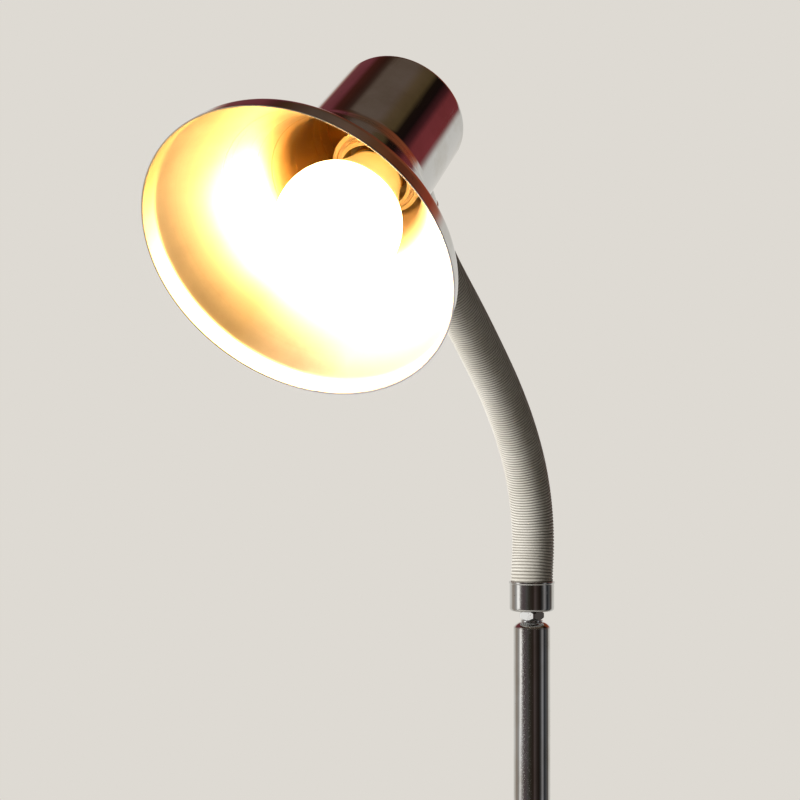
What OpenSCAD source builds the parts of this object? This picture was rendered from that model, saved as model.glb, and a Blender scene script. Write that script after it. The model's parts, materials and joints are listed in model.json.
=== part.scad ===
// Floor lamp with a spun shade on a bendable gooseneck, a straight pole and a round weighted base.
// Millimetres, +Z up, origin in the middle of the felt that the lamp stands on, the head faces -Y.

/* [Base] */
// Radius of the round base
base_r = 130; // [110:1:160]
// Height of the base from the floor to its flat top
base_h = 24; // [23:0.5:30]
// Radius of the rounded edge of the base
base_edge = 9; // [5:0.5:9.5]
// Sheet thickness of the base cover
cover_t = 1.2; // [0.8:0.1:1.6]
// Gap under the rim of the base cover
cover_gap = 1; // [0.5:0.1:1.8]
// Thickness of the felt under the base
felt_t = 2; // [1:0.5:3]
// Thickness of the plate that closes the base
plate_t = 1.2; // [1:0.1:2]
// Radius of the chrome collar round the foot of the pole
collar_r = 23; // [18:0.5:30]
// Height of the collar
collar_h = 13; // [8:0.5:20]

/* [Pole] */
// Radius of the pole
pole_r = 10; // [9:0.25:12]
// Wall of the pole
pole_wall = 1.2; // [1:0.1:1.6]
// Length of the pole
pole_len = 1034; // [700:1:1300]
// Height of the sloping shoulder on top of the pole
shoulder_h = 2.9; // [2:0.1:5]
// Length of the plugs inside the two ends of the pole
plug_len = 24; // [15:1:40]

/* [Coupling] */
// Radius of the hollow threaded tubes that join pole, neck and head
nipple_r = 4; // [3.5:0.1:4.5]
// Radius of the wire bore in the threaded tubes
nipple_bore = 2.6; // [2:0.1:3]
// Width across the flats of the square lock nut
lock_nut_w = 10.2; // [10:0.1:12]
// Height of the square lock nut
lock_nut_h = 4.8; // [4:0.1:7]
// Radius of the ring under the lock nut
lock_ring_r = 6.1; // [5.5:0.1:7]
// Height of the ring under the lock nut
lock_ring_h = 1.3; // [0.8:0.1:2]

/* [Gooseneck] */
// Radius of the neck over its ribs
neck_r = 11.5; // [10:0.1:12]
// Distance from rib to rib
rib_pitch = 1.64; // [1.5:0.02:1.8]
// Depth of the grooves between the ribs
groove_d = 0.5; // [0.3:0.05:0.5]
// Width of the grooves between the ribs
groove_w = 0.8; // [0.5:0.05:1]
// Radius of the wire bore in the neck
neck_bore = 5; // [4:0.1:6]
// Radius of the ball that ends each turn group of the neck
ball_r = 12.6; // [12.4:0.1:13]
// Wall of the chrome ferrules
ferrule_wall = 0.6; // [0.4:0.1:1]
// Height of the lower ferrule
ferrule_h = 16.2; // [14:0.1:20]
// Height of the upper ferrule
top_ferrule_h = 12; // [11:0.1:18]
// Thickness of the floor of each ferrule
ferrule_floor = 3; // [2:0.1:4]
// How far the lip of a ferrule stands out
lip_out = 0.35; // [0.2:0.05:0.6]
// Distance from the lower ferrule to the first point where the neck bends
low_reach = 4; // [3:0.1:6]
// Distance from the last point where the neck bends to the upper ferrule
top_reach = 6.5; // [6.4:0.1:8]

/* [Shade] */
// Outer radius of the mouth of the shade
mouth_r = 77.2; // [72:0.1:85]
// Height of the near-straight lip at the mouth
lip_h = 9.2; // [6:0.1:14]
// How far the lip draws in over its height
lip_in = 1.35; // [0.5:0.05:3]
// Depth of the shade from mouth to closed end
shade_h = 128; // [124:0.5:136]
// Height at which the flared skirt meets the cap
waist_h = 67; // [62:0.5:72]
// Outer radius of the cap at the skirt
cap_r = 34.6; // [34:0.1:38]
// How much narrower the cap is at its closed end
cap_taper = 1.8; // [0.5:0.1:2.2]
// Sheet thickness of the shade
shade_t = 0.8; // [0.6:0.1:1]
// Rounding of the edge at the closed end
cap_edge = 3; // [2:0.1:5]
// How far the skirt bulges outwards between lip and cap
skirt_bulge = 3; // [1:0.1:5]
// Angle below the horizontal at which the head faces
head_dip = 36.6; // [30:0.1:45]
// Distance of the neck from the foot of the bracket, along the axis of the shade
entry_drop = 10.15; // [9.15:0.05:11.15]

/* [Lampholder] */
// Distance of bulb and lampholder from the axis of the shade, towards the neck
holder_off = 9.7; // [9:0.1:10]
// Radius of the barrel of the lampholder
barrel_r = 19.1; // [19:0.1:19.3]
// Wall of the barrel and of the dome
holder_wall = 1.6; // [1.4:0.1:2]
// Radius of the ring on the barrel
ring_r = 22.9; // [22:0.1:23.1]
// Width of the ring on the barrel
ring_w = 4.5; // [3:0.5:6]
// Distance of the ring from the front of the barrel
ring_back = 3.2; // [2:0.1:5]
// Distance of the front of the lampholder from the tip of the bulb
barrel_reach = 27.3; // [25.6:0.1:28.6]
// Radius of the dome behind the barrel
dome_r = 17.5; // [17.3:0.1:17.6]
// Thickness of the bracket that carries the lampholder
bracket_t = 2.2; // [1.8:0.1:2.3]
// Width of the bracket
bracket_w = 14; // [12:0.5:15]

/* [Bulb] */
// Radius of the round part of the bulb
bulb_r = 30; // [27:0.5:31]
// Distance of the middle of the round part from the closed end of the shade
bulb_back = 86.4; // [85:0.1:87]
// Distance from the middle of the round part to the screw cap
bulb_neck = 43; // [42:0.1:44]
// Length of the screw cap with its tip
screw_cap_h = 27; // [26:0.1:28]
// Radius of the screw cap of the bulb
screw_cap_r = 13.1; // [13:0.05:13.2]
// Thickness of the glass
glass_t = 1; // [0.8:0.1:1.2]

/* [Switch] */
// Radius of the foot button
button_r = 8.5; // [7:0.1:9]
// Travel of the foot button
button_travel = 4; // [3:0.1:4.5]
// Height of the foot button over the base
button_up = 9; // [8:0.1:12]
// Distance of the switch from the rim of the base
switch_edge = 50; // [45:1:60]

/* [Inlet] */
// Radius of the bore for a mains lead
inlet_bore = 3.2; // [3:0.1:3.6]
// Length of the bushing in the rear of the base
inlet_len = 9; // [7:0.5:12]

/* [Clearances] */
// Radial clearance of pieces that slide over each other
slide_gap = 0.08; // [0.05:0.01:0.1]
// Radial clearance of screwed and pushed fits
fit_gap = 0.05; // [0.02:0.01:0.08]
// Gap between the ball of one neck piece and the cup of the next
ball_gap = 0.3; // [0.3:0.02:0.4]

/* [Hidden] */
$fn = 72;
links = 18;
ribs_per_link = 9;
function two(i) = i < 10 ? str("0", i) : str(i);
LINKS = [for (i = [1 : links]) str("gooseneck_link_", two(i))];

// Heights of the pieces in the base
plate_top = felt_t + plate_t;
recess_top = plate_top + 9;
tie_r = 5;
tie_bore = 3.2;
tie_up = 20;
tie_washer_h = 1.6;
tie_washer_r = 12;
tie_nut_w = 17;
tie_nut_h = 5;
weight_gap = 2.8;
screw_ring = base_r - 28;
screw_head_r = 3.6;
screw_head_h = 1.6;
screw_r = 2;
screw_len = 8;
screw_turns = [30, 150, 210, 330];
felt_r = base_r - 7;
bottom_plate_r = base_r - cover_t - weight_gap - 1;

// Switch, seen from above in front of the pole
switch_out = base_r - switch_edge;
switch_wall = 1.9;
switch_body_r = button_r + slide_gap + switch_wall + 1.6;
switch_floor = plate_top + 2.4;
switch_floor_t = 2;
bezel_r = switch_body_r + 1.5;
bezel_h = 3;
plunger_len = base_h + button_up - switch_floor - switch_floor_t - 8;
spring_wire = 0.45;
spring_curls = 5;
spring_r = button_r - 2.4;

// Terminal block and inlet, behind the pole
terminal_edge = 64;
terminal_out = base_r - terminal_edge;
terminal_size = [26, 17, 11];
inlet_flange_r = inlet_bore + 3.3;
inlet_flange_t = 1.6;
inlet_body_r = inlet_bore + 1.9;
inlet_snap_r = inlet_body_r + 1.1;
inlet_z = plate_top + inlet_snap_r + 0.2;
channel_w = 12;
channel_h = 10;

// Heights along the pole
pole_foot = base_h;
pole_top = pole_foot + pole_len;
ring_z = pole_top + shoulder_h;
nut_z = ring_z + lock_ring_h;
ferrule_z = nut_z + lock_nut_h;
neck_z = ferrule_z + ferrule_h;

// Run of the gooseneck from the lower ferrule to the wall of the cap
link_pitch = ribs_per_link * rib_pitch;
cup_r = ball_r + ball_gap;
ball_edge = sqrt(pow(ball_r, 2) - pow(neck_r, 2));
cup_edge = sqrt(pow(cup_r, 2) - pow(neck_r, 2));
neck_len = low_reach + (links - 2) * link_pitch + top_reach + top_ferrule_h;
// Lean of the neck towards the front, in degrees, at shares of its length, as it is bent at rest
neck_bend = [[0, -22], [0.055, -3.5], [0.165, 14.5], [0.275, 31], [0.385, 41], [0.5, 48], [0.62, 50], [0.76, 53],
    [1, head_dip]];
function lean(i) = i == 1 ? 0 : i == links ? head_dip
    : lookup((low_reach + (i - 1.5) * link_pitch) / neck_len, neck_bend);
function along(a) = [0, -sin(a), cos(a)];
function neck_joint(j) = j == 1 ? [0, 0, neck_z + low_reach] : neck_joint(j - 1) + link_pitch * along(lean(j));
neck_end = neck_joint(links - 1) + (top_reach + top_ferrule_h) * along(head_dip);
ferrule_r = neck_r + fit_gap + ferrule_wall;

// The head has its own frame: Z from the mouth to the closed end, Y towards the neck.
// Bulb and lampholder hang from the closed end, as heights over the mouth.
waist_fillet = 3.4;
cap_foot = waist_h + waist_fillet;
bulb_h = shade_h - bulb_back;
screw_start = bulb_h + bulb_neck;
tip_h = screw_start + screw_cap_h;
holder_front = tip_h - barrel_reach;
block_h = tip_h + 1.2;
block_t = 4;
dome_top = block_h + block_t + 3.3;
barrel_top = tip_h - 10.3;
shell_r = screw_cap_r + 0.3;
shell_t = 0.5;
plate_h = dome_top + fit_gap;
holder_nut_h = 2.6;
holder_nut_w = 14;
entry_h = plate_h - entry_drop;
function cap_wall(h) = cap_r - cap_taper * (h - cap_foot) / (shade_h - cap_foot);
head_y = [0, sin(head_dip), -cos(head_dip)];
head_z = [0, cos(head_dip), sin(head_dip)];
mouth = neck_end - cap_wall(entry_h) * head_y - entry_h * head_z;
leg_face = sqrt(pow(cap_wall(plate_h + bracket_t) - shade_t - fit_gap, 2) - pow(bracket_w / 2, 2));

// Points of an arc from p to q that stands off the chord by bulge, to the left if positive
function arc_points(p, q, bulge, n) =
    let (chord = norm(q - p),
         r = (pow(chord, 2) / 4 + pow(bulge, 2)) / (2 * bulge),
         side = [p[1] - q[1], q[0] - p[0]] / chord,
         centre = (p + q) / 2 - side * (r - bulge),
         start = atan2(p[1] - centre[1], p[0] - centre[0]),
         turn = atan2(q[1] - centre[1], q[0] - centre[0]) - start,
         sweep = turn > 180 ? turn - 360 : turn < -180 ? turn + 360 : turn)
    [for (k = [0 : n]) centre + abs(r) * [cos(start + sweep * k / n), sin(start + sweep * k / n)]];

// Points of an arc round a centre, from one angle to another
function turn_points(centre, r, a, b, n) =
    [for (k = [0 : n]) centre + r * [cos(a + (b - a) * k / n), sin(a + (b - a) * k / n)]];

// A path and the same path set off to its left by t, as one closed outline
function wall_outline(path, t) =
    let (last = len(path) - 1,
         off = [for (i = [last : -1 : 0])
             let (d = path[min(i + 1, last)] - path[max(i - 1, 0)])
             path[i] + t * [-d[1], d[0]] / norm(d)])
    concat(path, [for (p = off) [max(p[0], 0), p[1]]]);

// Ribbed line of the neck from z0 to z1 at the full radius, with a groove between each two ribs
function rib_points(z0, z1) =
    let (n = max(1, round((z1 - z0 + groove_w) / rib_pitch)),
         crest = (z1 - z0 - (n - 1) * groove_w) / n)
    concat([[neck_r, z0]],
        [for (k = [1 : 1 : n - 1], s = [0, 0.5, 1])
            [neck_r - (s == 0.5 ? groove_d : 0), z0 + k * crest + (k - 1 + s) * groove_w]],
        [[neck_r, z1]]);

module on_head() {
    translate(mouth) rotate([head_dip - 90, 0, 0]) children();
}

module on_holder() {
    on_head() translate([0, holder_off, 0]) children();
}

// The frame of the neck where it meets the cap, Z pointing out of the cap along the neck
module on_entry() {
    on_head() translate([0, 0, entry_h]) rotate([-90, 0, 0]) children();
}

module ring(r_out, r_in, h) {
    difference() {
        cylinder(r = r_out, h = h);
        translate([0, 0, -1]) cylinder(r = r_in, h = h + 2);
    }
}

// Nut with turned corners: a prism of so many sides inside a double cone
module nut(sides, across, hole, h) {
    corner = across / 2 / cos(180 / sides);
    chamfer = (corner - across / 2) * 0.5;
    difference() {
        intersection() {
            rotate([0, 0, 180 / sides]) cylinder(r = corner, h = h, $fn = sides);
            rotate_extrude()
                polygon([[0, 0], [across / 2 + chamfer * 0.2, 0], [corner, chamfer],
                    [corner, h - chamfer], [across / 2 + chamfer * 0.2, h], [0, h]]);
        }
        translate([0, 0, -1]) cylinder(r = hole, h = h + 2);
    }
}

// Places of the screws that hold the bottom plate
module at_screws() {
    for (turn = screw_turns) rotate([0, 0, turn]) translate([screw_ring, 0, 0]) children();
}

// Base

module base_felt() {
    color("#3a3a3c") difference() {
        cylinder(r = felt_r, h = felt_t);
        translate([0, 0, -1]) at_screws() cylinder(r = screw_head_r + 2, h = felt_t + 2);
    }
}

module bottom_plate() {
    color("#8d8f92") translate([0, 0, felt_t]) difference() {
        cylinder(r = bottom_plate_r, h = plate_t);
        translate([0, 0, -1]) at_screws() cylinder(r = screw_r + 0.2, h = plate_t + 2);
    }
}

module plate_screws() {
    color("#b9bcc0") at_screws() difference() {
        union() {
            translate([0, 0, felt_t - screw_head_h]) cylinder(r = screw_head_r, h = screw_head_h);
            translate([0, 0, felt_t - 0.2]) cylinder(r = screw_r, h = screw_len);
        }
        translate([-screw_head_r, -0.5, felt_t - screw_head_h - 1]) cube([2 * screw_head_r, 1, 1.8]);
    }
}

// Line of the cover's outside, from its rim over the rounded edge to the middle
function cover_line() = concat([[base_r, cover_gap]],
    turn_points([base_r - base_edge, base_h - base_edge], base_edge, 0, 90, 10),
    [[0, base_h]]);

module base_weight() {
    d = cover_t + fit_gap;
    color("#4a4643") difference() {
        rotate_extrude() polygon(concat([[0, plate_top], [base_r - d - weight_gap, plate_top]],
            turn_points([base_r - d - weight_gap - base_edge, base_h - d - base_edge], base_edge, 0, 90, 10),
            [[0, base_h - d]]));
        translate([0, 0, -1]) cylinder(r = tie_r + 0.4, h = base_h + 2);
        translate([0, 0, plate_top - 1]) cylinder(r = tie_washer_r + 4, h = recess_top - plate_top + 1);
        translate([0, -switch_out, plate_top - 1]) cylinder(r = switch_body_r + 2.5, h = base_h);
        translate([-terminal_size[0] / 2 - 4, terminal_out - terminal_size[1] / 2 - 4, plate_top - 1])
            cube([terminal_size[0] + 8, terminal_size[1] + 8, terminal_size[2] + 4]);
        translate([-channel_w / 2, -switch_out, plate_top - 1]) cube([channel_w, base_r + switch_out, channel_h + 1]);
        translate([0, base_r - 4, plate_top - 1]) cylinder(r = inlet_flange_r + 4, h = base_h + 2);
        at_screws() translate([0, 0, plate_top - 1]) cylinder(r = screw_r + fit_gap, h = screw_len + 1);
    }
}

module base_cover() {
    color("#d9dadc") difference() {
        rotate_extrude() polygon(wall_outline(cover_line(), cover_t));
        translate([0, 0, base_h - cover_t - 1]) cylinder(r = tie_r + 0.2, h = cover_t + 2);
        translate([0, -switch_out, base_h - cover_t - 1])
            cylinder(r = switch_body_r - 1.6 + fit_gap, h = cover_t + 2);
        translate([0, base_r - 6, inlet_z]) rotate([-90, 0, 0]) cylinder(r = inlet_body_r + fit_gap, h = 12);
    }
}

// Bushing with a flange on either side of the cover's wall
module inlet_bushing() {
    color("#1d1d1f") translate([0, base_r, inlet_z]) rotate([-90, 0, 0]) difference() {
        rotate_extrude() polygon([[inlet_bore, 0.8 - inlet_len + inlet_flange_t],
            [inlet_snap_r - 0.2, -inlet_len + inlet_flange_t + 0.8], [inlet_snap_r, -cover_t - 0.4],
            [inlet_body_r, -cover_t - 0.4], [inlet_body_r, 0.1], [inlet_flange_r, 0.1],
            [inlet_flange_r, inlet_flange_t - 0.4], [inlet_flange_r - 0.8, inlet_flange_t + 0.4],
            [inlet_bore, inlet_flange_t + 0.4]]);
        translate([0, 0, -inlet_len - 2]) cylinder(r = inlet_bore, h = inlet_len + 8);
    }
}

module terminal_block() {
    w = terminal_size;
    color("#e9e4d8") translate([0, terminal_out, plate_top]) difference() {
        union() {
            translate([-w[0] / 2, -w[1] / 2, 0]) cube([w[0], w[1], 3]);
            for (s = [-1, 1]) translate([s * w[0] / 4, -w[1] / 2, w[2] - 5.5]) rotate([-90, 0, 0])
                cylinder(r = 5.4, h = w[1]);
        }
        for (s = [-1, 1]) translate([s * w[0] / 4, -w[1], w[2] - 5.5]) rotate([-90, 0, 0])
            cylinder(r = 2, h = 2 * w[1]);
        for (s = [-1, 1], t = [-1, 1]) translate([s * w[0] / 4, t * w[1] / 4, w[2] - 5.5])
            cylinder(r = 1.8, h = 8);
    }
}

module terminal_screws() {
    w = terminal_size;
    color("#c9b37a") for (s = [-1, 1], t = [-1, 1])
        translate([s * w[0] / 4, terminal_out + t * w[1] / 4, plate_top + w[2] - 3.6]) difference() {
            cylinder(r = 1.8 - fit_gap, h = 2.6);
            translate([-2, -0.25, 2]) cube([4, 0.5, 1]);
        }
}

// Foot switch

module switch_body() {
    r = button_r + slide_gap;
    color("#2a2a2c") translate([0, -switch_out, 0]) difference() {
        union() {
            translate([0, 0, switch_floor]) cylinder(r = switch_body_r, h = base_h - cover_t - switch_floor);
            translate([0, 0, base_h - cover_t - 1]) cylinder(r = switch_body_r - 1.6, h = cover_t + 1 + bezel_h);
        }
        translate([0, 0, switch_floor + switch_floor_t]) cylinder(r = r, h = base_h);
    }
}

module switch_bezel() {
    inner = switch_body_r - 1.6 + fit_gap;
    color("#d9dadc") translate([0, -switch_out, base_h]) rotate_extrude()
        polygon([[inner, 0], [bezel_r, 0], [bezel_r, bezel_h - 1.6], [bezel_r - 0.5, bezel_h - 0.6],
            [bezel_r - 1.5, bezel_h], [inner, bezel_h]]);
}

module switch_button() {
    top = base_h + button_up;
    crown = 1.6;
    color("#c9cacd") translate([0, -switch_out, 0]) rotate_extrude()
        polygon(concat([[0, top - plunger_len], [button_r - 1.2, top - plunger_len],
            [button_r, top - plunger_len + 1.2], [button_r, top - crown - 1]],
            arc_points([button_r, top - crown], [0, top], -0.5, 8)));
}

// One unbroken wire that winds up round the switch's axis
module switch_spring() {
    low = switch_floor + switch_floor_t + spring_wire + 0.1;
    high = base_h + button_up - plunger_len - spring_wire - 0.1;
    sides = 6;
    steps = spring_curls * 8;
    function mid(k) = [spring_r * cos(k * 45), spring_r * sin(k * 45), low + (high - low) * k / steps];
    pts = [for (k = [0 : steps], s = [0 : sides - 1])
        let (out = [cos(k * 45), sin(k * 45), 0])
        mid(k) + spring_wire * (cos(s * 60) * out + sin(s * 60) * [0, 0, 1])];
    skin = [for (k = [0 : steps - 1], s = [0 : sides - 1], h = [0, 1])
        let (a = k * sides + s, b = k * sides + (s + 1) % sides)
        h == 0 ? [a, b, b + sides] : [a, b + sides, a + sides]];
    ends = [[for (s = [sides - 1 : -1 : 0]) s], [for (s = [0 : sides - 1]) steps * sides + s]];
    color("#b9bcc0") translate([0, -switch_out, 0]) polyhedron(points = pts, faces = concat(skin, ends));
}

// Pole

module tie_rod() {
    color("#a9a27f") translate([0, 0, recess_top - tie_washer_h - tie_nut_h - 0.8])
        ring(tie_r, tie_bore, base_h + tie_up - recess_top + tie_washer_h + tie_nut_h + 0.8);
}

module tie_nut() {
    color("#a9a27f") translate([0, 0, recess_top - tie_washer_h - tie_nut_h])
        nut(6, tie_nut_w, tie_r + fit_gap, tie_nut_h);
}

module tie_washer() {
    color("#b9bcc0") translate([0, 0, recess_top - tie_washer_h]) ring(tie_washer_r, tie_r + 0.2, tie_washer_h);
}

module pole_collar() {
    bore = pole_r + fit_gap;
    color("#d9dadc") translate([0, 0, base_h]) rotate_extrude()
        polygon(concat([[bore, 0], [collar_r, 0], [collar_r, 1.4]],
            arc_points([collar_r - 0.8, 2.4], [bore + 1.4, collar_h - 0.6], 3.2, 12),
            [[bore + 0.7, collar_h], [bore, collar_h]]));
}

module pole_tube() {
    color("#d9dadc") translate([0, 0, pole_foot]) ring(pole_r, pole_r - pole_wall, pole_len);
}

module pole_foot_plug() {
    color("#8d8f92") translate([0, 0, pole_foot])
        ring(pole_r - pole_wall - fit_gap, tie_r + fit_gap, plug_len);
}

// Turned plug: the sloping shoulder shows above the tube
module pole_top_plug() {
    inner = pole_r - pole_wall - fit_gap;
    bore = nipple_r + fit_gap;
    color("#d9dadc") translate([0, 0, pole_top]) rotate_extrude()
        polygon(concat([[bore, -plug_len], [inner, -plug_len], [inner, 0], [pole_r, 0]],
            arc_points([pole_r, 0.3], [lock_ring_r + 0.4, shoulder_h], -0.35, 6),
            [[bore, shoulder_h]]));
}

module lock_ring() {
    color("#b9bcc0") translate([0, 0, ring_z]) rotate_extrude()
        polygon([[nipple_r + fit_gap, 0], [lock_ring_r, 0], [lock_ring_r, lock_ring_h - 0.4],
            [lock_ring_r - 0.4, lock_ring_h], [nipple_r + fit_gap, lock_ring_h]]);
}

module lock_nut() {
    color("#d9dadc") translate([0, 0, nut_z]) nut(4, lock_nut_w, nipple_r + fit_gap, lock_nut_h);
}

module lower_nipple() {
    color("#a9a27f") translate([0, 0, pole_top - plug_len + 4])
        ring(nipple_r, nipple_bore, ferrule_z + ferrule_floor - pole_top + plug_len - 4);
}

// Line of a cup-shaped ferrule that stands on z = 0 with its lip at height h
function ferrule_line(h) =
    let (inner = neck_r + fit_gap, round_r = 1.6)
    concat([[nipple_r + fit_gap, 0]],
        turn_points([ferrule_r - round_r, round_r], round_r, -90, 0, 5),
        [[ferrule_r, h - 1.3], [ferrule_r + lip_out, h - 1], [ferrule_r + lip_out, h - 0.3],
         [ferrule_r + lip_out - 0.3, h], [inner, h], [inner, ferrule_floor], [nipple_r + fit_gap, ferrule_floor]]);

module lower_ferrule() {
    color("#d9dadc") translate([0, 0, ferrule_z]) rotate_extrude() polygon(ferrule_line(ferrule_h));
}

// Gooseneck

// One group of turns: a cup below, ribs outside and a ball above, so that the next group turns on it.
// The first and the last end flat inside their ferrule.
module gooseneck_link(i) {
    first = i == 1;
    last = i == links;
    seat = first ? ferrule_h - ferrule_floor : top_ferrule_h - ferrule_floor;
    top = first ? low_reach : last ? top_reach + seat : link_pitch;
    cup = [for (k = [0 : 7])
        let (a = asin(neck_bore / cup_r) + (asin(neck_r / cup_r) - asin(neck_bore / cup_r)) * k / 7)
        cup_r * [sin(a), cos(a)]];
    ball = [for (k = [0 : 7])
        let (a = asin(neck_r / ball_r) + (asin(neck_bore / ball_r) - asin(neck_r / ball_r)) * k / 7)
        [0, top] + ball_r * [sin(a), cos(a)]];
    low = first ? [[neck_bore, -seat], [neck_r, -seat]] : cup;
    ribs = rib_points(first ? 0 : cup_edge, last ? top_reach : top + ball_edge);
    high = last ? [[neck_r, top], [neck_bore, top]] : ball;
    place = first ? [0, 0, neck_z] : neck_joint(i - 1);
    color("#b8b1a4") translate(place) rotate([lean(i), 0, 0]) rotate_extrude()
        polygon(concat(low, ribs, high));
}

// Head

// The foot of the upper ferrule is cut to the round of the cap
module upper_ferrule() {
    wall = cap_wall(entry_h);
    color("#d9dadc") difference() {
        on_entry() translate([0, 0, wall]) rotate_extrude() polygon(ferrule_line(top_ferrule_h));
        on_head() cylinder_cap(fit_gap);
    }
}

// Outside of the cap as a solid, grown by g
module cylinder_cap(g) {
    rotate_extrude() polygon([[0, cap_foot], [cap_wall(cap_foot) + g, cap_foot],
        [cap_wall(shade_h) + g, shade_h], [0, shade_h]]);
}

module upper_nipple() {
    wall = cap_wall(entry_h);
    inside = leg_face - bracket_t;
    color("#a9a27f") on_entry() translate([0, 0, inside])
        ring(nipple_r, nipple_bore, wall + ferrule_floor - inside);
}

// Spun from one disc: lip, flared skirt, tight waist and tapering cap with a closed end
function shade_line() = concat(
    [[mouth_r, 0], [mouth_r - lip_in, lip_h]],
    arc_points([mouth_r - lip_in - 0.9, lip_h + 0.8], [cap_r + 3.2, waist_h - 1.6], -skirt_bulge, 16),
    arc_points([cap_r + 2.2, waist_h - 0.4], [cap_r, cap_foot], 0.3, 5),
    turn_points([cap_wall(shade_h) - cap_edge, shade_h - cap_edge], cap_edge, 0, 86, 6),
    arc_points([cap_wall(shade_h) - cap_edge - 1, shade_h + 0.1], [0, shade_h + 1], -0.4, 6));

module shade() {
    color("#cfd0d3") difference() {
        on_head() rotate_extrude() polygon(wall_outline(shade_line(), shade_t));
        on_entry() translate([0, 0, leg_face]) cylinder(r = nipple_r + fit_gap, h = 10);
    }
}

// Steel strip bent once: the leg is tapped for the upper nipple, the foot carries the lampholder
module holder_bracket() {
    color("#8d8f92") difference() {
        on_head() union() {
            translate([-bracket_w / 2, leg_face - bracket_t, entry_h - nipple_r - 2])
                cube([bracket_w, bracket_t, plate_h + bracket_t - entry_h + nipple_r + 2]);
            translate([-bracket_w / 2, holder_off - tie_r - 3, plate_h])
                cube([bracket_w, leg_face - holder_off + tie_r + 3, bracket_t]);
        }
        on_entry() cylinder(r = nipple_r + fit_gap, h = 60);
        on_holder() translate([0, 0, plate_h - 1]) cylinder(r = tie_r + fit_gap, h = bracket_t + 2);
    }
}

module holder_nipple() {
    color("#a9a27f") on_holder() translate([0, 0, dome_top - 3])
        ring(tie_r, nipple_bore, 3 + bracket_t + holder_nut_h + 0.6);
}

module holder_nut() {
    color("#b9bcc0") on_holder() translate([0, 0, plate_h + bracket_t + fit_gap])
        rotate([0, 0, 90]) nut(6, holder_nut_w, tie_r + fit_gap, holder_nut_h);
}

module holder_dome() {
    inner = dome_r - holder_wall;
    roof = block_h + block_t;
    color("#efe6cf") on_holder() rotate_extrude()
        polygon(concat([[inner, barrel_top], [barrel_r, barrel_top], [barrel_r, barrel_top + 1]],
            [[dome_r, barrel_top + 2.6], [dome_r, roof - 1]],
            arc_points([dome_r - 0.4, roof], [tie_r + 3.4, dome_top], -0.8, 6),
            [[tie_r + fit_gap, dome_top], [tie_r + fit_gap, roof], [inner, roof]]));
}

// Barrel with a spigot that screws into the dome
module holder_barrel() {
    inner = barrel_r - holder_wall;
    spigot = dome_r - holder_wall - fit_gap;
    color("#efe6cf") on_holder() rotate_extrude()
        polygon([[inner - 0.4, holder_front], [barrel_r - 0.5, holder_front], [barrel_r, holder_front + 0.5],
            [barrel_r, barrel_top], [spigot, barrel_top], [spigot, barrel_top + 5.5],
            [spigot - 1.1, barrel_top + 5.5], [spigot - 1.1, barrel_top - 2], [inner, barrel_top - 3.5],
            [inner, holder_front + 2]]);
}

// Ring with grip notches and a groove in its front face, screwed on the barrel
module holder_ring() {
    notches = 18;
    color("#efe6cf") on_holder() translate([0, 0, holder_front + ring_back]) difference() {
        rotate_extrude() polygon([[barrel_r + fit_gap, 1.2], [barrel_r + 1.5, 1.2], [barrel_r + 1.7, 0],
            [ring_r - 0.5, 0], [ring_r, 0.5], [ring_r, ring_w - 0.5], [ring_r - 0.5, ring_w],
            [barrel_r + fit_gap, ring_w]]);
        for (k = [0 : notches - 1]) rotate([0, 0, k * 360 / notches])
            translate([ring_r - 0.6, -0.8, 1.4]) cube([2, 1.6, ring_w]);
    }
}

module contact_block() {
    r = dome_r - holder_wall - fit_gap;
    color("#f2efe8") on_holder() translate([0, 0, block_h]) difference() {
        cylinder(r = r, h = block_t);
        translate([-1.6, -r + 3, -1]) cube([3.2, r, 2]);
        for (s = [-1, 1]) translate([s * 8, 6, -1]) cylinder(r = 1.6, h = block_t + 2);
    }
}

module screw_shell() {
    r = shell_r + shell_t;
    color("#c9a24a") on_holder() difference() {
        translate([0, 0, screw_start + 2]) cylinder(r = r, h = block_h - screw_start - 2);
        translate([0, 0, screw_start]) cylinder(r = shell_r, h = block_h - screw_start - shell_t);
        translate([0, 0, block_h - 2]) cylinder(r = 7, h = 4);
    }
}

// Springy tongue that the tip of the bulb presses on
module centre_contact() {
    color("#c9a24a") on_holder() union() {
        translate([-1.4, -10, block_h + 0.5]) cube([2.8, 12, 0.5]);
        translate([-1.4, -2, tip_h + fit_gap]) cube([2.8, 4, block_h - tip_h + 0.6]);
    }
}

// Opal bulb: a ball that runs into a neck
module bulb_glass() {
    seat_r = screw_cap_r - 0.6;
    neck = seat_r + 1.8;
    touch = 58;
    edge = bulb_r * [sin(touch), cos(touch)] + [0, bulb_h];
    path = concat(
        turn_points([0, bulb_h], bulb_r, -90, 87 - touch, 24),
        arc_points(edge, [neck, screw_start - 0.8], 1.1, 8),
        [[seat_r, screw_start + 0.2], [seat_r, screw_start + 7]]);
    color("#fffdf6") on_holder() rotate_extrude() polygon(wall_outline(path, glass_t));
}

module bulb_screw_cap() {
    inner = screw_cap_r - 0.5;
    end = tip_h - 4.6;
    color("#cfd0d3") on_holder() rotate_extrude()
        polygon([[inner, screw_start + 0.4], [screw_cap_r, screw_start + 0.4], [screw_cap_r, end],
            [8.6, end + 2], [8.2, end + 2], [inner, end]]);
}

module bulb_insulator() {
    end = tip_h - 4.6;
    color("#17171a") on_holder() rotate_extrude()
        polygon([[0, end + 1.2], [8.1, end + 2 - 0.1], [8.1, end + 2.2], [5.2, tip_h - 1.1], [0, tip_h - 1.1]]);
}

module bulb_tip() {
    color("#c7c8ca") on_holder() rotate_extrude()
        polygon(concat([[0, tip_h - 1.1], [4.7, tip_h - 1.1]], arc_points([4.7, tip_h - 0.9], [0, tip_h], -0.25, 5)));
}

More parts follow.
